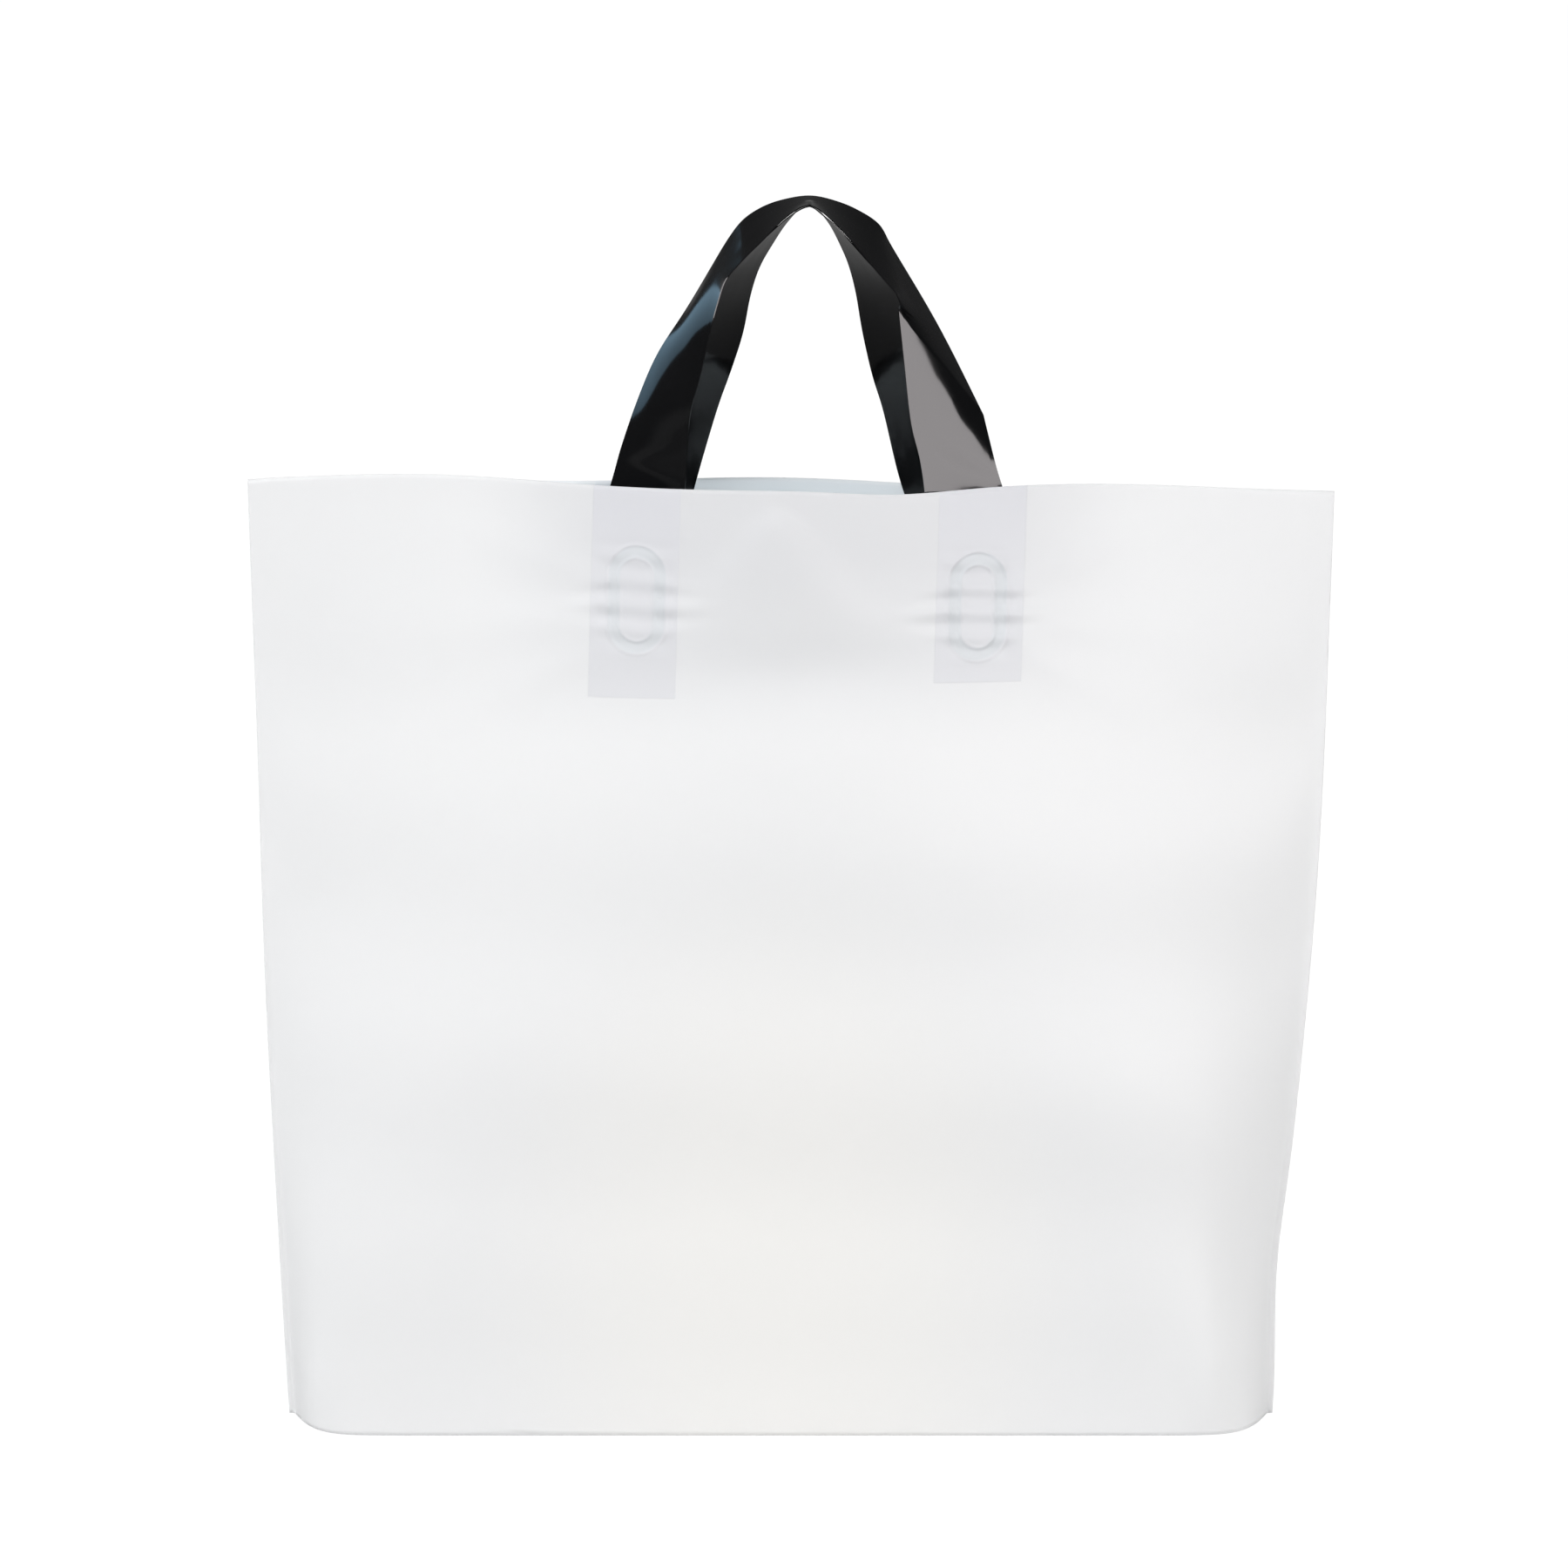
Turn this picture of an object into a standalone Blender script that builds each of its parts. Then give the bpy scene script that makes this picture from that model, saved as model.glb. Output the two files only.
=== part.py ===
"""A film carrier bag with two soft loop handles, standing on its opened bottom gusset.

The bag is one folded sheet of film: a front panel, a back panel and a gusset between their bottom
folds, welded along both side seams. Film doesn't stretch, so each level of a panel keeps the flat
width, and the bag gets narrower where it stands deeper. Each handle is one strip, welded at both
ends to the inside of its panel and turned a quarter turn on its way up. Metres, +Z up, the front
panel faces -Y, and the origin is on the floor under the middle of the bag.
"""

import functools
import math

import bmesh
import bpy
import numpy as np
from mathutils import Vector

# The bag, pressed flat
FLAT_WIDTH = 0.400
BAG_HEIGHT = 0.3495
FILM = 0.0004
SEAM_WIDTH = 0.0020
SEAM_HALF_THICKNESS = 0.0010

# The bag, standing open
BASE_HALF_DEPTH = 0.0300
MIDDLE_BULGE = 0.0120
BULGE_SKEW = 1.3
MOUTH_HALF_DEPTH = 0.0230
BASE_SQUARENESS = 26.0
MOUTH_SQUARENESS = 1.8
SQUARENESS_FADE = 4
SIDE_LEAN = 0.0037
LEAN_FADE = (0.10, 0.75)
SEAM_DENT = 0.0022
CREASE_RISE = 0.0020
CORNER_RISE = 0.0012
CORNER_START = 0.90
RIM_TILT = 0.0022
SEAM_DENT_HEIGHT = 0.057
SEAM_DENT_REACH = 0.060
SEAM_DENT_START = 0.75
SWAG_DEPTH = 0.0013
SWAG_PITCH = 0.090
SWAG_HEIGHT = 0.225
SWAG_SLOPE = 0.250
SWAG_FADE_LOW = (0.020, 0.080)
SWAG_FADE_HIGH = (0.045, 0.100)
SLACK_FADE_SIDE = 0.06
SLACK_FADE_LOW = 0.012

# The handles
STRIP_WIDTH = 0.0325
STRIP_FILM = 0.0004
HANDLE_RISE = 0.1044
HANDLE_SPACING = 0.1240
HANDLE_OFFSET = 0.0050
APEX_OFFSET = 0.0067
LEFT_PATCH_LENGTH = 0.0740
RIGHT_PATCH_LENGTH = 0.0675
SEAL_TOP = 0.0240
PATCH_GAP = 0.0006
STACK_GAP = 0.0004
STACK_SHIFT = 0.0022

# How finely the film is divided
COLUMNS = 38
EVEN_SPACING = 0.3
GUSSET_ROWS = 5
PANEL_ROWS = 22
ROW_SPREAD = 1.25
GUSSET_FLAT = 0.75
CHORD_POINTS = 400
CHORD_HALVINGS = 40
SHARP_ANGLE = 40
STRIP_COLUMNS = 4
PATCH_STEPS = 5
STRIP_STEPS = 3

FRONT = -1
BACK = 1

# The rim's rises and sags. Each row is where it is across the bag, its reach, and how high.
RIM_WAVES = {
    FRONT: (
        (-0.150, 0.130, 0.0052),
        (0.120, 0.160, 0.0036),
        (0.005, 0.140, 0.0014),
        (0.040, 0.050, -0.0022),
    ),
    BACK: (
        (-0.070, 0.090, -0.0014),
        (0.065, 0.100, -0.0022),
    ),
}

# Slack and folds in the film: the flare of the mouth between the handles, its pinch on either side
# of them, the little tent under the rim, and the folds at the bottom corners. Each row is where it
# is across the bag, its reach, its height, its reach up and down, and how far the film stands out.
SLACK = {
    FRONT: (
        (0.005, 0.124, 0.350, 0.080, 0.0040),
        (-0.105, 0.100, 0.350, 0.160, -0.0060),
        (0.115, 0.100, 0.350, 0.160, -0.0060),
        (-0.006, 0.046, 0.305, 0.060, 0.0016),
        (0.159, 0.016, 0.030, 0.070, 0.0022),
        (0.172, 0.030, 0.060, 0.034, -0.0030),
        (-0.176, 0.014, 0.014, 0.040, 0.0014),
    ),
    BACK: (
        (0.005, 0.124, 0.350, 0.080, 0.0020),
        (-0.105, 0.100, 0.350, 0.160, -0.0060),
        (0.115, 0.100, 0.350, 0.160, -0.0060),
        (-0.160, 0.016, 0.030, 0.070, 0.0020),
    ),
}


def smooth_step(low, high, value):
    """0 below low, 1 above high, and a soft ramp between them."""
    share = min(max((value - low) / (high - low), 0.0), 1.0)
    return share * share * (3 - 2 * share)


def hump(value, middle, reach):
    """A soft hump, 1 in the middle and nearly gone at the reach on either side."""
    return math.exp(-(((value - middle) / (0.5 * reach)) ** 2))


def half_depth(height):
    """Half the bag's depth on its centre line at a height."""
    share = height / BAG_HEIGHT
    straight = BASE_HALF_DEPTH + (MOUTH_HALF_DEPTH - BASE_HALF_DEPTH) * share
    return straight + MIDDLE_BULGE * math.sin(math.pi * min(share, 1.0) ** BULGE_SKEW)


def squareness(height):
    """How box-like a level is: about 2 is a lens, and 30 has nearly square ends."""
    share = min(max(height / BAG_HEIGHT, 0.0), 1.0)
    return MOUTH_SQUARENESS + (BASE_SQUARENESS - MOUTH_SQUARENESS) * (1 - share) ** SQUARENESS_FADE


@functools.cache
def half_chord(height):
    """Half the distance between the seams at a height, so that a panel keeps its flat width."""
    depth, power = half_depth(height), squareness(height)
    share = np.sin(np.linspace(0, math.pi / 2, CHORD_POINTS))
    bow = depth * (1 - share**power)
    low, high = FLAT_WIDTH / 4, FLAT_WIDTH / 2
    for _ in range(CHORD_HALVINGS):
        middle = (low + high) / 2
        length = np.hypot(np.diff(share * middle), np.diff(bow)).sum()
        if length > FLAT_WIDTH / 2:
            high = middle
        else:
            low = middle
    return middle


def column_share(index):
    """Where a column stands between the seams, -1 to 1, closer together towards the seams."""
    even = 2 * index / COLUMNS - 1
    return EVEN_SPACING * even + (1 - EVEN_SPACING) * math.sin(even * math.pi / 2)


def across_at(share, height):
    """Where a column stands at a height: the bag leans left, and its right seam is dented."""
    lean = SIDE_LEAN * (1 - smooth_step(*LEAN_FADE, height / BAG_HEIGHT))
    dent = SEAM_DENT * hump(height, SEAM_DENT_HEIGHT, SEAM_DENT_REACH)
    dent *= smooth_step(SEAM_DENT_START, 1.0, share)
    return share * (half_chord(height) - SEAM_WIDTH) - lean - dent


def rim_height(share, face):
    """The rim's height at a column: it tilts down to the right, and waves between the seams."""
    across = share * FLAT_WIDTH / 2
    wave = sum(rise * hump(across, middle, reach) for middle, reach, rise in RIM_WAVES[face])
    return BAG_HEIGHT - RIM_TILT * share + math.sqrt(1 - share * share) * wave


def slack(across, height, face):
    """How far a panel stands out from its even bow, with shallow swags across its middle."""
    phase = 2 * math.pi * (height - SWAG_HEIGHT) / SWAG_PITCH - face * across / SWAG_SLOPE
    swag = SWAG_DEPTH * math.cos(phase) * smooth_step(*SWAG_FADE_LOW, height)
    swag *= smooth_step(*SWAG_FADE_HIGH, BAG_HEIGHT - height)
    for middle, reach, level, rise, stand in SLACK[face]:
        swag += stand * hump(across, middle, reach) * hump(height, level, rise)
    return swag


def relief(share, across, height, face):
    """The slack of a panel, fading out at the seams and at the bottom fold."""
    fade = smooth_step(0.0, SLACK_FADE_SIDE, 1 - abs(share)) * smooth_step(0.0, SLACK_FADE_LOW, height)
    return slack(across, height, face) * fade


def outer_depth(share, height, face):
    """Distance of a panel's outside from the middle plane."""
    end = abs(share) ** squareness(height)
    bow = SEAM_HALF_THICKNESS + (half_depth(height) - SEAM_HALF_THICKNESS) * (1 - end)
    return bow + relief(share, share * half_chord(height), height, face)


def inner_depth(share, height, face, pocket):
    """Distance of a panel's inside from the middle plane; pocket is 1 beside the gusset's end."""
    end = abs(share) ** squareness(height)
    seam = pocket * FILM
    bow = seam + (half_depth(height) - FILM - seam) * (1 - end)
    return bow + relief(share, share * half_chord(height), height, face)


def fold_height(share):
    """The bottom fold lies on the floor, and rises a little at the corners."""
    return CORNER_RISE * max(0.0, (abs(share) - CORNER_START) / (1 - CORNER_START)) ** 2


GUSSET_REACH = BASE_HALF_DEPTH - SEAM_HALF_THICKNESS
GUSSET_HALF = math.hypot(GUSSET_REACH, CREASE_RISE)
LOWER_ZONE = CORNER_RISE + GUSSET_HALF + 3 * FILM


def gusset_rise(share):
    """How far the gusset's crease stands above the fold: low in the middle, full at the seams."""
    open_half = GUSSET_REACH * (1 - abs(share) ** BASE_SQUARENESS)
    return math.sqrt(max(GUSSET_HALF**2 - open_half**2, CREASE_RISE**2))


def gusset_ramp(share, step):
    """How far up the crease a step across the gusset stands: flat on the floor, then a tent."""
    flat = GUSSET_FLAT * (1 - gusset_rise(share) / GUSSET_HALF)
    return max(0.0, (step - flat) / (1 - flat))


def pocket_share(step):
    """1 beside the gusset's end, and 0 where the two inside pockets meet at its crease."""
    return min(1.0, (1 - step) * GUSSET_ROWS)


def panel_heights(share, face, floor):
    """Each level of a panel from its bottom fold to the rim, with how much of a pocket it has."""
    steps = [index / GUSSET_ROWS for index in range(GUSSET_ROWS + 1)]
    levels = [(floor + (LOWER_ZONE - floor) * step, pocket_share(step)) for step in steps]
    rim = rim_height(share, face)
    for index in range(1, PANEL_ROWS + 1):
        rise = 1 - (1 - index / PANEL_ROWS) ** ROW_SPREAD
        levels.append((LOWER_ZONE + (rim - LOWER_ZONE) * rise, 0.0))
    return levels


def panel_column(share, face, inside):
    """A column of points on one skin of a panel, from the bottom fold up."""
    fold = fold_height(share)
    floor = fold + FILM if inside else fold
    points = []
    for height, pocket in panel_heights(share, face, floor):
        across = across_at(share, height)
        if inside:
            depth = inner_depth(share, height, face, pocket)
        else:
            depth = outer_depth(share, height, face)
        points.append(Vector((across, face * depth, height)))
    return points


def gusset_column(share, face, inside):
    """A column of points on one skin of half the gusset, from beside the bottom fold to the crease."""
    fold = fold_height(share)
    open_share = 1 - abs(share) ** BASE_SQUARENESS
    points = []
    for index in range(GUSSET_ROWS + 1):
        step = index / GUSSET_ROWS
        ramp = gusset_ramp(share, step)
        if inside:
            half = GUSSET_REACH - FILM + SEAM_HALF_THICKNESS - FILM
            depth = pocket_share(step) * FILM + half * open_share * (1 - step)
            lift = LOWER_ZONE - fold - FILM if abs(share) == 1 else gusset_rise(share) + FILM
            height = fold + FILM + lift * ramp
        else:
            depth = GUSSET_REACH * open_share * (1 - step)
            height = fold + gusset_rise(share) * ramp
        across = across_at(share, height)
        points.append(Vector((across, face * depth, height)))
    return points


def add_grid(mesh, columns, flip):
    """Quads between neighbouring columns of points."""
    corners = [[mesh.verts.new(point) for point in column] for column in columns]
    for left, right in zip(corners, corners[1:]):
        for low in range(len(left) - 1):
            quad = (left[low], right[low], right[low + 1], left[low + 1])
            distinct = [quad[0]]
            for corner in quad[1:]:
                if all((corner.co - other.co).length > 1e-7 for other in distinct):
                    distinct.append(corner)
            if len(distinct) > 2:
                mesh.faces.new(reversed(distinct) if flip else distinct)


def film_material(name, colour, roughness):
    """A plain film finish."""
    material = bpy.data.materials.new(name)
    material.use_nodes = True
    shader = material.node_tree.nodes["Principled BSDF"]
    shader.inputs["Base Color"].default_value = (*colour, 1.0)
    shader.inputs["Roughness"].default_value = roughness
    return material


def add_object(name, mesh, material):
    """An object from an edited mesh, with its material, in the scene."""
    data = bpy.data.meshes.new(name)
    mesh.to_mesh(data)
    mesh.free()
    data.materials.append(material)
    data.shade_smooth()
    data.set_sharp_from_angle(angle=math.radians(SHARP_ANGLE))
    piece = bpy.data.objects.new(name, data)
    bpy.context.scene.collection.objects.link(piece)
    return piece


def bag_body():
    """The folded and side-welded film: both skins of the panels and the gusset, rim and seams."""
    mesh = bmesh.new()
    shares = [column_share(index) for index in range(COLUMNS + 1)]
    for face in (FRONT, BACK):
        outer = [panel_column(share, face, False) for share in shares]
        inner = [panel_column(share, face, True) for share in shares]
        under = [gusset_column(share, face, False) for share in shares]
        over = [gusset_column(share, face, True) for share in shares]
        for panel, gusset in zip(inner, over):
            gusset[0] = panel[0]
        front = face == FRONT
        add_grid(mesh, outer, not front)
        add_grid(mesh, inner, front)
        add_grid(mesh, under, front)
        add_grid(mesh, over, not front)
        add_grid(mesh, [[o[0], u[0]] for o, u in zip(outer, under)], front)
        add_grid(mesh, [[o[-1], i[-1]] for o, i in zip(outer, inner)], not front)
    for end in (-1, 1):
        front_edge = panel_column(end, FRONT, False)
        back_edge = panel_column(end, BACK, False)
        reach = Vector((end * SEAM_WIDTH, 0, 0))
        flip = end < 0
        add_grid(mesh, [front_edge, [p + reach for p in front_edge]], flip)
        add_grid(mesh, [[p + reach for p in front_edge], [p + reach for p in back_edge]], flip)
        add_grid(mesh, [[p + reach for p in back_edge], back_edge], flip)
        middle = [gusset_column(end, FRONT, False)[0], panel_column(end, FRONT, True)[-1]]
        for level, centre in zip((0, -1), middle):
            ring = [front_edge[level], centre, back_edge[level]]
            ring += [back_edge[level] + reach, front_edge[level] + reach]
            mesh.faces.new([mesh.verts.new(point) for point in ring])
    bmesh.ops.remove_doubles(mesh, verts=mesh.verts, dist=1e-6)
    bmesh.ops.recalc_face_normals(mesh, faces=mesh.faces)
    return add_object("bag_body", mesh, film_material("white_film", (0.80, 0.80, 0.79), 0.45))


def smooth_path(knots, steps):
    """Points on a smooth curve through the knots, each a tuple of numbers."""
    knots = [np.array(knot) for knot in knots]
    padded = [2 * knots[0] - knots[1], *knots, 2 * knots[-1] - knots[-2]]
    path = []
    for before, start, end, after in zip(padded, padded[1:], padded[2:], padded[3:]):
        for index in range(steps):
            t = index / steps
            path.append(
                0.5
                * (
                    2 * start
                    + (end - before) * t
                    + (2 * before - 5 * start + 4 * end - after) * t**2
                    + (3 * start - before - 3 * end + after) * t**3
                )
            )
    path.append(knots[-1])
    return path


# A leg from the rim up, in stretches that meet at creases. Rise is a share of the handle's rise;
# across and inward are shares of the way from the weld to the top of the loop; turn is the strip's
# quarter turn in degrees; slant is how much higher the outer edge stands than the inner, and bow
# how far the strip's middle stands out, both as shares of half its width.
LEGS = {
    (FRONT, -1): (
        (
            (0.00, 0.080, 0.45, 34, 0.00, 0.03),
            (0.12, 0.113, 0.49, 42, 0.00, 0.10),
            (0.28, 0.172, 0.56, 54, 0.08, 0.16),
            (0.43, 0.258, 0.63, 61, 0.13, 0.16),
            (0.60, 0.375, 0.78, 73, 0.03, 0.12),
            (0.78, 0.515, 0.96, 90, 0.30, 0.00),
        ),
        (
            (0.86, 0.620, 0.98, 87, 0.29, 0.00),
            (0.915, 0.725, 1.00, 87, 0.24, 0.00),
            (0.965, 0.840, 1.00, 88, 0.11, 0.00),
        ),
    ),
    (FRONT, 1): (
        (
            (0.00, 0.065, 0.31, 16, -0.42, 0.00),
            (0.14, 0.130, 0.33, 16, -0.52, 0.04),
            (0.28, 0.168, 0.36, 16, -0.86, 0.04),
            (0.44, 0.210, 0.42, 17, -1.23, 0.00),
        ),
        (
            (0.60, 0.340, 0.80, 64, -0.35, 0.00),
            (0.76, 0.498, 0.94, 94, 0.46, 0.00),
        ),
        (
            (0.83, 0.585, 0.97, 89, 0.44, 0.00),
            (0.90, 0.715, 1.00, 89, 0.31, 0.00),
            (0.955, 0.840, 1.00, 90, 0.16, 0.00),
        ),
    ),
    (BACK, -1): (
        (
            (0.00, 0.124, 0.44, 33, 0.15, 0.00),
            (0.26, 0.258, 0.54, 36, 0.10, 0.00),
            (0.40, 0.350, 0.62, 42, 0.17, 0.00),
            (0.54, 0.470, 0.74, 55, 0.14, 0.00),
            (0.675, 0.570, 0.87, 70, 0.17, 0.00),
            (0.77, 0.645, 0.93, 75, 0.11, 0.00),
            (0.85, 0.745, 0.97, 80, 0.08, 0.00),
            (0.912, 0.830, 0.99, 84, 0.07, 0.00),
            (0.962, 0.915, 1.00, 88, 0.08, 0.00),
        ),
    ),
    (BACK, 1): (
        (
            (0.00, 0.202, 0.42, 31, 0.07, 0.00),
            (0.27, 0.331, 0.54, 37, 0.09, 0.00),
            (0.41, 0.422, 0.63, 44, 0.18, 0.00),
            (0.56, 0.520, 0.75, 54, 0.13, 0.00),
            (0.69, 0.605, 0.86, 66, 0.16, 0.00),
            (0.785, 0.700, 0.93, 77, 0.12, 0.00),
            (0.86, 0.785, 0.97, 83, 0.11, 0.00),
            (0.92, 0.860, 0.99, 87, 0.10, 0.00),
            (0.961, 0.930, 1.00, 89, 0.07, 0.00),
        ),
    ),
}


def panel_inside(across, height, face):
    """Where the inside of a panel stands at a place on it."""
    share = (across - across_at(0.0, height)) / (half_chord(height) - SEAM_WIDTH)
    return face * inner_depth(share, height, face, 0.0)


def weld_centre(side):
    """The middle of a weld, from the middle of the bag."""
    return HANDLE_OFFSET + side * HANDLE_SPACING / 2


def patch_station(across, height, face, side):
    """A station on the welded patch: its edges follow the inside of the panel."""
    clear = PATCH_GAP + STRIP_FILM / 2
    half = STRIP_WIDTH / 2
    points = []
    for step in range(STRIP_COLUMNS + 1):
        x = across + side * half * (2 * step / STRIP_COLUMNS - 1)
        points.append(Vector((x, panel_inside(x, height, face) - face * clear, height)))
    return points


def patch_stations(face, side):
    """The welded patch, from its foot up to the top of the weld."""
    weld = weld_centre(side)
    rim = rim_height(weld / half_chord(BAG_HEIGHT), face)
    length = LEFT_PATCH_LENGTH if side < 0 else RIGHT_PATCH_LENGTH
    rise = (length - SEAL_TOP) / PATCH_STEPS
    heights = [rim - length + rise * step for step in range(PATCH_STEPS + 1)]
    return [patch_station(weld, height, face, side) for height in heights]


def leg_knots(face, side):
    """A leg's knots from the top of the weld up, by stretch: centre, half the width, and the bow."""
    weld = weld_centre(side)
    rim = rim_height(weld / half_chord(BAG_HEIGHT), face)
    apex = rim_apex(face)
    seal = rim - SEAL_TOP
    half = STRIP_WIDTH / 2
    start = panel_inside(weld, seal, face) - face * (PATCH_GAP + STRIP_FILM / 2)
    stretches = []
    last = (weld, start, seal, side * half, 0.0, 0.0, 0.0, 0.0, 0.0)
    for rows in LEGS[face, side]:
        knots = [last]
        for rise, across, inward, turn, slant, bow in rows:
            sine, cosine = math.sin(math.radians(turn)), math.cos(math.radians(turn))
            x, y = weld + (apex.x - weld) * across, start + (apex.y - start) * inward
            centre = (x, y, rim + (apex.z - rim) * rise)
            width = (side * cosine * half, -face * sine * half, slant * half)
            out = (side * sine * bow * half, face * cosine * bow * half, 0.0)
            knots.append(centre + width + out)
        last = knots[-1]
        stretches.append(knots)
    return stretches


def loop_path(face):
    """The free loop from weld to weld, smooth apart from the creases of its legs."""
    apex = rim_apex(face)
    top = (apex.x, apex.y, apex.z, 0.0, -face * STRIP_WIDTH / 2, 0.0, 0.0, 0.0, 0.0)
    left, right = leg_knots(face, -1), leg_knots(face, 1)
    crown = [*left[-1], top, *reversed(right[-1])]
    lower_right = [list(reversed(knots)) for knots in reversed(right[:-1])]
    path = []
    for knots in [*left[:-1], crown, *lower_right]:
        path = path[:-1] + smooth_path(knots, STRIP_STEPS)
    return path


def loop_stations(face):
    """The free loop's stations between the welds, each a row of points across the strip."""
    stations = []
    for knot in loop_path(face)[1:-1]:
        centre, half, bow = Vector(knot[:3]), Vector(knot[3:6]), Vector(knot[6:])
        shares = [2 * step / STRIP_COLUMNS - 1 for step in range(STRIP_COLUMNS + 1)]
        stations.append([centre + half * share + bow * (1 - share**2) for share in shares])
    return stations


def rim_apex(face):
    """The top of a loop; the back handle lies just under the front one, and a little behind it."""
    top = BAG_HEIGHT + HANDLE_RISE
    if face == FRONT:
        return Vector((APEX_OFFSET, 0.0, top))
    return Vector((APEX_OFFSET, STACK_SHIFT, top - STRIP_FILM - STACK_GAP))


def handle(name, face):
    """One strip from weld to weld, with its film's thickness from a Solidify modifier."""
    left, right = patch_stations(face, -1), patch_stations(face, 1)
    mesh = bmesh.new()
    add_grid(mesh, [*left, *loop_stations(face), *reversed(right)], False)
    bmesh.ops.recalc_face_normals(mesh, faces=mesh.faces)
    piece = add_object(name, mesh, film_material(f"black_film_{name}", (0.012, 0.012, 0.013), 0.25))
    wall = piece.modifiers.new("film", "SOLIDIFY")
    wall.thickness = STRIP_FILM
    wall.offset = 0.0
    wall.use_even_offset = True
    return piece


def clear_scene():
    """Removes whatever the scene starts with."""
    for item in list(bpy.data.objects):
        bpy.data.objects.remove(item, do_unlink=True)


clear_scene()
bag_body()
handle("front_handle", FRONT)
handle("back_handle", BACK)
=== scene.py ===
"""The looks of a white film carrier bag with black soft loop handles, standing open on its gusset."""

import math

import bpy
import numpy as np
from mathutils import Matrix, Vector


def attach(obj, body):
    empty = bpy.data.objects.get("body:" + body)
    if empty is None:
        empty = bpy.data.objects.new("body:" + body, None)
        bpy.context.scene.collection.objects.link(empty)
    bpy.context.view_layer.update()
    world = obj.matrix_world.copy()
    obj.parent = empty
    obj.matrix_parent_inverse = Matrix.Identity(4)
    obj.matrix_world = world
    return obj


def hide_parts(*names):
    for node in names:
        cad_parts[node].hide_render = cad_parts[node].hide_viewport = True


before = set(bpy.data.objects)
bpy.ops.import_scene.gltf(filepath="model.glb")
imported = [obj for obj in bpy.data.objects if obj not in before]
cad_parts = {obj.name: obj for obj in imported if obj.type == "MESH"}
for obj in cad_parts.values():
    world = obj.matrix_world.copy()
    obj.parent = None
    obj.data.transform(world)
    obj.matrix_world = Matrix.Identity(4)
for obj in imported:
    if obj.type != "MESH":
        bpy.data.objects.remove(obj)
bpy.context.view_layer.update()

# The bag: one folded sheet of milky polyethylene film, blown as a tube, folded in at the bottom for
# the gusset and welded along both side seams. It keeps the shape of the solid. What is added here is
# what the film does round the handles: the pressed oval welds, their puckers, and the tent between.
# A crease has a slope, a height where it leaves the strip's edge, and a lift.
WELD_ACROSS = (-0.0562, 0.0678)
WELD_HEIGHT = (0.3110, 0.3084)
RING_HALF_WIDTH = 0.0106
RING_HALF_HEIGHT = 0.0196
RING_INNER = 0.58
RING_PRESS = 0.00022
LIP_HEIGHT = 0.00038
LIP_WIDTH = 0.05
PUCKER_PITCH = 0.0091
PUCKER_HEIGHT = 0.00070
PUCKER_REACH = 0.0175
PUCKER_RISE = 0.0175
PUCKER_LIFT = 0.0022
PUCKER_SWAY = 0.35
PUCKER_FLOOR = 0.45
TENT_TOP = (-0.0050, 0.3440)
TENT_HEIGHT = 0.0024
TENT_DROP = 0.036
TENT_TIP = 0.0035
TENT_FLARE = 0.80
HOLLOW = {"lift": -0.0024, "height": 0.2840, "rise": 0.030, "across": 0.005, "reach": 0.110}
SWELL = {"lift": 0.0011, "height": 0.2560, "rise": 0.044, "across": 0.010, "reach": 0.190}
CREASES = ((0.35, 0.318, 0.0007), (-0.10, 0.304, 0.0010), (-0.55, 0.293, 0.0007))
CREASE_WIDTH = 0.014
CREASE_LENGTH = 0.045
STRIP_HALF_WIDTH = 0.01625
STRIP_FOOT = (0.2755, 0.2810)
FLAT_ENOUGH = 0.5
SOFT_EDGES = math.radians(50)


def only(piece):
    """Selects one piece alone and makes it the active one."""
    bpy.ops.object.select_all(action="DESELECT")
    piece.select_set(True)
    bpy.context.view_layer.objects.active = piece


def copy_of_solid(node, name, sharp):
    """A finer copy of a solid's mesh: merged, its sharp edges creased, and subdivided."""
    piece = bpy.data.objects.new(name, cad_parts[node].data.copy())
    bpy.context.scene.collection.objects.link(piece)
    only(piece)
    bpy.ops.object.mode_set(mode="EDIT")
    bpy.ops.mesh.select_all(action="SELECT")
    bpy.ops.mesh.remove_doubles(threshold=1e-6)
    bpy.ops.mesh.tris_convert_to_quads(face_threshold=math.radians(60), shape_threshold=math.radians(60))
    bpy.ops.mesh.select_mode(type="EDGE")
    bpy.ops.mesh.select_all(action="DESELECT")
    bpy.ops.mesh.edges_select_sharp(sharpness=math.radians(sharp))
    bpy.ops.transform.edge_crease(value=1.0)
    bpy.ops.object.mode_set(mode="OBJECT")
    finer = piece.modifiers.new("finer", "SUBSURF")
    finer.levels = 2
    finer.render_levels = 2
    bpy.ops.object.modifier_apply(modifier="finer")
    return piece


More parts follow.
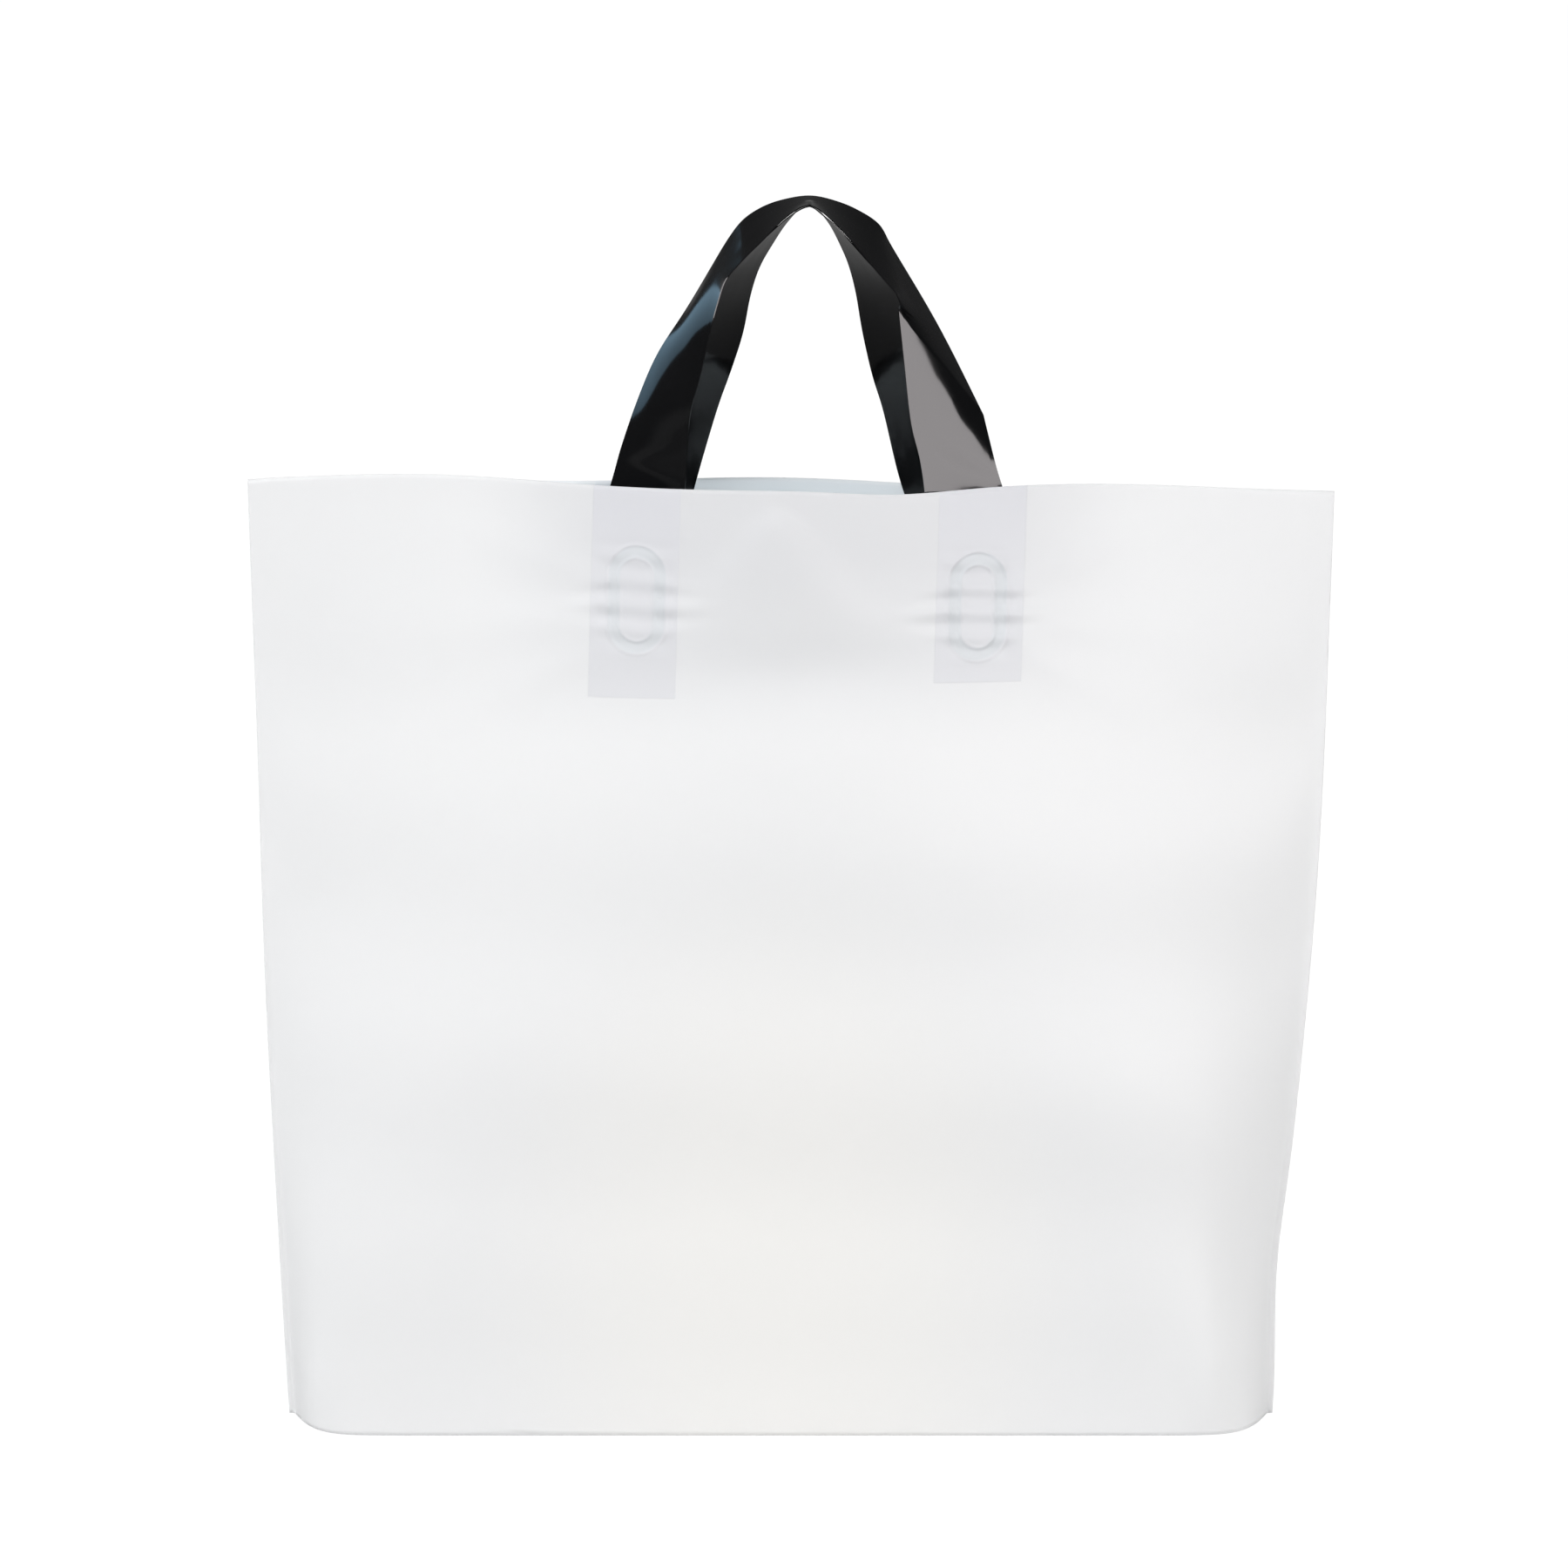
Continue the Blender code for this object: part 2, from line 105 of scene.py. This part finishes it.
def refine(piece, half_width, half_height, cuts):
    """Divides the outer faces round each weld more finely."""
    only(piece)
    mesh = piece.data
    centres = np.empty(len(mesh.polygons) * 3)
    mesh.polygons.foreach_get("center", centres)
    normals = np.empty(len(mesh.polygons) * 3)
    mesh.polygons.foreach_get("normal", normals)
    x, y, z = centres.reshape(-1, 3).T
    outside = normals.reshape(-1, 3)[:, 1] * np.sign(y) > FLAT_ENOUGH
    near = np.zeros(len(x), dtype=bool)
    for weld, level in zip(WELD_ACROSS, WELD_HEIGHT):
        near |= (np.abs(x - weld) < half_width) & (np.abs(z - level) < half_height)
    bpy.ops.object.mode_set(mode="EDIT")
    bpy.ops.mesh.select_mode(type="FACE")
    bpy.ops.mesh.select_all(action="DESELECT")
    bpy.ops.object.mode_set(mode="OBJECT")
    mesh.polygons.foreach_set("select", near & outside)
    bpy.ops.object.mode_set(mode="EDIT")
    bpy.ops.mesh.subdivide(number_cuts=cuts)
    bpy.ops.mesh.vertices_smooth(factor=0.5, repeat=4)
    bpy.ops.object.mode_set(mode="OBJECT")


def hump(value, middle, reach):
    """A soft hump, 1 in the middle and nearly gone at the reach on either side."""
    return np.exp(-(((value - middle) / (0.5 * reach)) ** 2))


def ramp(low, high, value):
    """0 below low, 1 above high, and a soft ramp between them."""
    share = np.clip((value - low) / (high - low), 0, 1)
    return share * share * (3 - 2 * share)


def weld_relief(aside, above, outer_skin):
    """The pressed oval band with its raised lips, and the level puckers that cross it."""
    straight = RING_HALF_HEIGHT - RING_HALF_WIDTH
    ring = np.hypot(aside, np.maximum(np.abs(above) - straight, 0)) / RING_HALF_WIDTH
    lips = hump(ring, 1.0, 2 * LIP_WIDTH) + hump(ring, RING_INNER, 2 * LIP_WIDTH)
    band = ramp(RING_INNER - 0.04, RING_INNER + 0.04, ring) * (1 - ramp(0.96, 1.04, ring))
    pressed = outer_skin * (LIP_HEIGHT * lips - RING_PRESS * band)
    reach = PUCKER_REACH * (1 + PUCKER_SWAY * np.cos(above / 0.0045 + 0.6))
    fade = np.exp(-((aside / reach) ** 4)) * np.exp(-((above / PUCKER_RISE) ** 4))
    bend = PUCKER_SWAY * np.sin(aside / 0.008)
    pucker = np.cos(2 * math.pi * (above + PUCKER_LIFT) / PUCKER_PITCH + bend)
    strength = PUCKER_FLOOR + (1 - PUCKER_FLOOR) * ramp(0.4, 1.1, ring)
    return pressed + PUCKER_HEIGHT * pucker * fade * strength


def film_relief(across, height, outer_skin):
    """How far the film stands out. It hangs from its two welds: a small tent with a round top, a
    hollow under it and a swell below, and soft creases that run out from the welds to both sides."""
    stand = np.zeros(len(across))
    drop = TENT_TOP[1] - height
    spread = TENT_TIP + TENT_FLARE * np.clip(drop, 0, 0.08)
    tent = np.exp(-(((across - TENT_TOP[0]) / spread) ** 4)) * ramp(-0.0025, 0.006, drop)
    stand += TENT_HEIGHT * tent * np.exp(-((drop / TENT_DROP) ** 4))
    for form in (HOLLOW, SWELL):
        shape = hump(height, form["height"], form["rise"]) * hump(across, form["across"], form["reach"])
        stand += form["lift"] * shape
    for side, weld, level in zip((-1, 1), WELD_ACROSS, WELD_HEIGHT):
        stand += weld_relief(across - weld, height - level, outer_skin)
        run = side * (across - weld) - STRIP_HALF_WIDTH
        for slope, rise, lift in CREASES:
            crease = hump(height - rise, slope * run, CREASE_WIDTH) * ramp(-0.012, 0.004, run)
            stand += lift * crease * np.exp(-((run / CREASE_LENGTH) ** 2))
    return stand


def move_out(piece, reach, pressed):
    """Moves a piece's points in or out with the film, by a share of the film's own relief. Only the
    outer skin of a pressed piece takes the oval weld bands."""
    mesh = piece.data
    points = np.empty(len(mesh.vertices) * 3)
    mesh.vertices.foreach_get("co", points)
    points = points.reshape(-1, 3)
    normals = np.empty(len(mesh.vertices) * 3)
    mesh.vertices.foreach_get("normal", normals)
    across, depth, height = points.T
    face = np.sign(depth)
    outer_skin = ramp(0.0, FLAT_ENOUGH, normals.reshape(-1, 3)[:, 1] * face) if pressed else 0.0
    points[:, 1] += face * film_relief(across, height, outer_skin) * reach(depth, height)
    mesh.vertices.foreach_set("co", points.ravel())
    mesh.update()


bag = copy_of_solid("bag_body", "film_bag", 50)
refine(bag, 0.036, 0.036, 1)
refine(bag, 0.0135, 0.0225, 2)
move_out(bag, lambda depth, height: ramp(0.002, 0.012, np.abs(depth)) * ramp(0.010, 0.040, height), True)
only(bag)
bpy.ops.object.shade_smooth_by_angle(angle=SOFT_EDGES)

film = bpy.data.materials.new("milky_film")
film.use_nodes = True
nodes, links = film.node_tree.nodes, film.node_tree.links
shader = nodes["Principled BSDF"]
place = nodes.new("ShaderNodeTexCoord")
split = nodes.new("ShaderNodeSeparateXYZ")
links.new(place.outputs["Object"], split.inputs[0])


def math_node(operation, first, second=0.0, third=0.0):
    """A Math node on one to three sockets or numbers."""
    node = nodes.new("ShaderNodeMath")
    node.operation = operation
    for socket, value in zip(node.inputs, (first, second, third)):
        if isinstance(value, (int, float)):
            socket.default_value = value
        else:
            links.new(value, socket)
    return node.outputs[0]


def soft_range(value, low, high):
    """0 at low and 1 at high, with a soft ramp."""
    node = nodes.new("ShaderNodeMapRange")
    node.interpolation_type = "SMOOTHSTEP"
    node.inputs["From Min"].default_value = low
    node.inputs["From Max"].default_value = high
    links.new(value, node.inputs["Value"])
    return node.outputs["Result"]


def blend_colour(share, first, second):
    """A mix of two colours, each a socket or a tuple."""
    node = nodes.new("ShaderNodeMix")
    node.data_type = "RGBA"
    links.new(share, node.inputs["Factor"])
    for socket, colour in zip((node.inputs[6], node.inputs[7]), (first, second)):
        if isinstance(colour, tuple):
            socket.default_value = (*colour, 1)
        else:
            links.new(colour, socket)
    return node.outputs[2]


def film_noise(scale, detail, stretch):
    """Soft noise along the film, stretched sideways by a factor."""
    mapping = nodes.new("ShaderNodeMapping")
    mapping.inputs["Scale"].default_value = (1 / stretch, 1, 1)
    links.new(place.outputs["Object"], mapping.inputs["Vector"])
    noise = nodes.new("ShaderNodeTexNoise")
    noise.inputs["Scale"].default_value = scale
    noise.inputs["Detail"].default_value = detail
    links.new(mapping.outputs[0], noise.inputs["Vector"])
    return noise.outputs["Fac"]


# The tone drifts: warmer and a little cloudy low in the middle. Painted shade greys it high up, most of
# all between the two welds, and darker still close to the rim.
MILKY = (0.850, 0.850, 0.854)
MILKY_WARM = (0.900, 0.888, 0.864)
HUNG_SHADE_GREY = (0.765, 0.768, 0.780)
RIM_SHADE_GREY = (0.700, 0.702, 0.718)
middle = math_node("POWER", math_node("DIVIDE", math_node("ADD", split.outputs["X"], 0.005), 0.125), 2)
lowness = math_node("DIVIDE", math_node("SUBTRACT", split.outputs["Z"], 0.060), 0.170)
far = math_node("ADD", middle, math_node("POWER", lowness, 2))
cloud = math_node("MULTIPLY", film_noise(9.0, 2.0, 1.8), 0.10)
warmth = math_node("SUBTRACT", 1.0, soft_range(math_node("ADD", far, cloud), -0.3, 1.0))
tone = blend_colour(warmth, MILKY, MILKY_WARM)
highness = soft_range(split.outputs["Z"], 0.254, 0.296)
centred = math_node("ABSOLUTE", math_node("SUBTRACT", split.outputs["X"], 0.006))
centred = math_node("SUBTRACT", 1.0, soft_range(centred, 0.050, 0.130))
# Painted shade: the film is greyed high up between the welds, where it faces down under its swag.
hung_shade = math_node("MULTIPLY", highness, math_node("MULTIPLY_ADD", centred, 0.75, 0.20))
tone = blend_colour(hung_shade, tone, HUNG_SHADE_GREY)
# Painted shade: the film is darker still close to the rim, between the welds.
rim_shade = math_node("MULTIPLY", soft_range(split.outputs["Z"], 0.300, 0.330), centred)
tone = blend_colour(math_node("MULTIPLY", rim_shade, 0.80), tone, RIM_SHADE_GREY)

# The welded strip ends show through the film as cooler, darker panes, with the oval welds in them.
# Painted shade makes the panes darkest close to the rim.
PANE_GREY = (0.690, 0.692, 0.725)
BAND_GREY = (0.610, 0.665, 0.685)
PANE_LEAN = 0.030
LEAN_FROM = 0.310
pane, weld_band = None, None
for side, weld, level, foot in zip((-1, 1), WELD_ACROSS, WELD_HEIGHT, STRIP_FOOT):
    lean = math_node("MULTIPLY", math_node("SUBTRACT", split.outputs["Z"], LEAN_FROM), PANE_LEAN)
    aside = math_node("SUBTRACT", math_node("SUBTRACT", split.outputs["X"], lean), weld)
    edge = math_node("ABSOLUTE", math_node("SUBTRACT", aside, 0.0008 * side))
    inside = math_node("SUBTRACT", 1.0, soft_range(edge, STRIP_HALF_WIDTH - 0.0006, STRIP_HALF_WIDTH))
    inside = math_node("MULTIPLY", inside, soft_range(split.outputs["Z"], foot - 0.0004, foot + 0.0004))
    above = math_node("SUBTRACT", split.outputs["Z"], level)
    square = math_node("POWER", math_node("DIVIDE", aside, RING_HALF_WIDTH), 2)
    beyond = math_node("SUBTRACT", math_node("ABSOLUTE", above), RING_HALF_HEIGHT - RING_HALF_WIDTH)
    beyond = math_node("DIVIDE", math_node("MAXIMUM", beyond, 0), RING_HALF_WIDTH)
    ring = math_node("SQRT", math_node("ADD", square, math_node("POWER", beyond, 2)))
    band = math_node("MULTIPLY", soft_range(ring, RING_INNER - 0.07, RING_INNER + 0.05),
                     math_node("SUBTRACT", 1.0, soft_range(ring, 0.93, 1.03)))
    pane = inside if pane is None else math_node("MAXIMUM", pane, inside)
    weld_band = band if weld_band is None else math_node("MAXIMUM", weld_band, band)
# Painted shade: the panes take a larger share of their grey towards the rim.
shaded = math_node("MULTIPLY_ADD", soft_range(split.outputs["Z"], 0.318, 0.346), 0.35, 0.60)
tone = blend_colour(math_node("MULTIPLY", pane, shaded), tone, PANE_GREY)
tone = blend_colour(math_node("MULTIPLY", weld_band, 0.30), tone, BAND_GREY)
links.new(tone, shader.inputs["Base Color"])

# The film's surface: a little orange peel, a fine grain, and the step at the strip ends.
gloss = nodes.new("ShaderNodeMapRange")
gloss.inputs["To Min"].default_value = 0.36
gloss.inputs["To Max"].default_value = 0.50
links.new(film_noise(14.0, 3.0, 1.5), gloss.inputs["Value"])
links.new(gloss.outputs["Result"], shader.inputs["Roughness"])
relief = math_node("MULTIPLY", film_noise(26.0, 3.0, 1.6), 0.9)
relief = math_node("ADD", relief, math_node("MULTIPLY", film_noise(420.0, 2.0, 1.0), 0.05))
relief = math_node("ADD", relief, math_node("MULTIPLY", pane, 0.35))
peel = nodes.new("ShaderNodeBump")
peel.inputs["Strength"].default_value = 0.5
peel.inputs["Distance"].default_value = 0.0006
links.new(relief, peel.inputs["Height"])
links.new(peel.outputs["Normal"], shader.inputs["Normal"])
shader.inputs["Specular IOR Level"].default_value = 0.10

# Painted light: the inner skin glows a little, and bluish, standing in for light that comes through the
# milky film.
facing = nodes.new("ShaderNodeSeparateXYZ")
links.new(place.outputs["Normal"], facing.inputs[0])
outward = math_node("MULTIPLY", facing.outputs["Y"], math_node("SIGN", split.outputs["Y"]))
painted_glow_share = math_node("SUBTRACT", 1.0, soft_range(outward, -0.6, -0.1))
links.new(blend_colour(painted_glow_share, (0.0, 0.0, 0.0), (0.84, 0.95, 1.0)), shader.inputs["Emission Color"])
shader.inputs["Emission Strength"].default_value = 0.25
bag.data.materials.clear()
bag.data.materials.append(film)
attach(bag, "root")
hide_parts("bag_body")

# The handles: two strips of glossy black film, folded double and heat sealed to the inside of the
# panels, and turned a quarter turn on their way up, so that their tops lie flat on each other.
# Their welded ends follow the film's relief, which fades out where the weld lets go of them.
STRIP_CREASE = 22
WELD_LETS_GO = (0.318, 0.340)
BLACK_DEEP = (0.0030, 0.0032, 0.0036)
BLACK_PALE = (0.0058, 0.0058, 0.0064)
black = bpy.data.materials.new("black_strip_film")
black.use_nodes = True
nodes, links = black.node_tree.nodes, black.node_tree.links
shader = nodes["Principled BSDF"]
place = nodes.new("ShaderNodeTexCoord")
tint = film_noise(30.0, 2.0, 1.0)
links.new(blend_colour(tint, BLACK_DEEP, BLACK_PALE), shader.inputs["Base Color"])
gloss = nodes.new("ShaderNodeMapRange")
gloss.inputs["To Min"].default_value = 0.07
gloss.inputs["To Max"].default_value = 0.14
links.new(film_noise(45.0, 2.0, 1.0), gloss.inputs["Value"])
links.new(gloss.outputs["Result"], shader.inputs["Roughness"])
ripple = nodes.new("ShaderNodeBump")
ripple.inputs["Strength"].default_value = 0.35
ripple.inputs["Distance"].default_value = 0.0010
links.new(film_noise(38.0, 1.5, 0.6), ripple.inputs["Height"])
links.new(ripple.outputs["Normal"], shader.inputs["Normal"])
shader.inputs["Specular IOR Level"].default_value = 0.25
for node, name in (("front_handle", "front_strip"), ("back_handle", "back_strip")):
    strip = copy_of_solid(node, name, STRIP_CREASE)
    move_out(strip, lambda depth, height: 1 - ramp(*WELD_LETS_GO, height), False)
    only(strip)
    bpy.ops.object.shade_smooth_by_angle(angle=math.radians(STRIP_CREASE))
    strip.data.materials.clear()
    strip.data.materials.append(black)
    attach(strip, "root")
    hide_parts(node)

# The floor: a wide pale sheet, which shows as plain white but keeps the bag's soft shadow. Its
# mirror image is much dimmer, so that the black strips stay black.
GLOW = 1.07
GLOW_LOST_IN_MIRROR = 0.95
GLOW_SHARE = 0.92
bpy.ops.object.select_all(action="DESELECT")
bpy.ops.mesh.primitive_plane_add(size=14, location=(0, 0, -0.0002))
floor = bpy.context.object
floor.name = "floor"
sheet = bpy.data.materials.new("pale_floor")
sheet.use_nodes = True
nodes, links = sheet.node_tree.nodes, sheet.node_tree.links
paint = nodes["Principled BSDF"]
paint.inputs["Base Color"].default_value = (0.88, 0.88, 0.88, 1)
paint.inputs["Roughness"].default_value = 0.9
paint.inputs["Specular IOR Level"].default_value = 0.0
glow = nodes.new("ShaderNodeEmission")
mix = nodes.new("ShaderNodeMixShader")
path = nodes.new("ShaderNodeLightPath")
seen = math_node("MAXIMUM", path.outputs["Is Camera Ray"], path.outputs["Is Transmission Ray"])
seen = math_node("MAXIMUM", seen, path.outputs["Is Glossy Ray"])
dimmed = math_node("MULTIPLY", path.outputs["Is Glossy Ray"], GLOW_LOST_IN_MIRROR)
links.new(math_node("SUBTRACT", GLOW, dimmed), glow.inputs["Strength"])
links.new(math_node("MULTIPLY", seen, GLOW_SHARE), mix.inputs["Fac"])
links.new(paint.outputs["BSDF"], mix.inputs[1])
links.new(glow.outputs["Emission"], mix.inputs[2])
links.new(mix.outputs["Shader"], nodes["Material Output"].inputs["Surface"])
floor.data.materials.append(sheet)

# The studio: white all round where the camera looks, an even grey-white light on the bag, and for
# reflections a dark room with a slightly paler foot.
BACKDROP = 1.03
ROOM_LIGHT = 0.51
ROOM_IN_MIRROR = 0.05
FOOT_IN_MIRROR = 0.22
room = bpy.data.worlds.new("white_room")
bpy.context.scene.world = room
room.use_nodes = True
nodes, links = room.node_tree.nodes, room.node_tree.links
path = nodes.new("ShaderNodeLightPath")
place = nodes.new("ShaderNodeTexCoord")
split = nodes.new("ShaderNodeSeparateXYZ")
links.new(place.outputs["Generated"], split.inputs[0])
sweep = math_node("SUBTRACT", 1.0, soft_range(split.outputs["Z"], 0.03, 0.12))
sweep = math_node("MULTIPLY_ADD", sweep, FOOT_IN_MIRROR, ROOM_IN_MIRROR)
direct = math_node("MAXIMUM", path.outputs["Is Camera Ray"], path.outputs["Is Transmission Ray"])


def blend_number(share, first, second):
    """A mix of two numbers or sockets."""
    node = nodes.new("ShaderNodeMix")
    links.new(share, node.inputs["Factor"])
    for socket, value in zip((node.inputs[2], node.inputs[3]), (first, second)):
        if isinstance(value, (int, float)):
            socket.default_value = value
        else:
            links.new(value, socket)
    return node.outputs[0]


strength = blend_number(path.outputs["Is Glossy Ray"], ROOM_LIGHT, sweep)
strength = blend_number(direct, strength, BACKDROP)
links.new(strength, nodes["Background"].inputs["Strength"])
nodes["Background"].inputs["Color"].default_value = (1, 1, 1, 1)


def softbox(name, place, aim, width, height, power, colour, mirrored):
    """A rectangular studio lamp that faces a point, and either lights the film or is mirrored in
    the black strips."""
    lamp = bpy.data.lights.new(name, "AREA")
    lamp.shape = "RECTANGLE"
    lamp.size, lamp.size_y = width, height
    lamp.energy = power
    lamp.color = colour
    holder = bpy.data.objects.new(name, lamp)
    holder.location = place
    holder.rotation_euler = (Vector(aim) - Vector(place)).to_track_quat("-Z", "Y").to_euler()
    bpy.context.scene.collection.objects.link(holder)
    holder.visible_diffuse = not mirrored
    holder.visible_glossy = mirrored


softbox("top_softbox", (-0.5, -0.9, 2.15), (0, 0, 0.25), 1.2, 0.6, 26, (1.0, 1.0, 1.0), False)
softbox("left_softbox", (-2.10, -1.00, 0.22), (0, 0, 0.20), 0.8, 0.8, 8.0, (0.90, 0.96, 1.0), False)
softbox("right_softbox", (2.10, -1.00, 0.18), (0, 0, 0.16), 0.8, 0.8, 13.5, (1.0, 1.0, 1.0), False)
softbox("right_card", (1.08, -1.70, 0.32), (0.02, 0, 0.40), 1.50, 1.10, 68, (1.0, 0.95, 0.96), True)
softbox("left_window", (-1.35, 1.5, 0.66), (0, 0, 0.35), 1.0, 0.8, 3.0, (0.45, 0.75, 1.0), True)

# The camera stands straight in front, three metres away and ten degrees up, with a long lens.
ELEVATION = math.radians(10)
DISTANCE = 3.0
AIM = Vector((-0.0026, 0.0, 0.2388))
FOCAL_PIXELS = 9372
FRAME_PIXELS = 1800
back = Vector((0, -math.cos(ELEVATION), math.sin(ELEVATION)))
lens = bpy.data.cameras.new("camera")
lens.sensor_width = 36
lens.lens = FOCAL_PIXELS / FRAME_PIXELS * lens.sensor_width
lens.clip_end = 30
camera = bpy.data.objects.new("camera", lens)
camera.location = AIM + DISTANCE * back
camera.rotation_euler = (-back).to_track_quat("-Z", "Y").to_euler()
bpy.context.scene.collection.objects.link(camera)
bpy.context.scene.camera = camera

bpy.context.scene.view_settings.view_transform = "Standard"
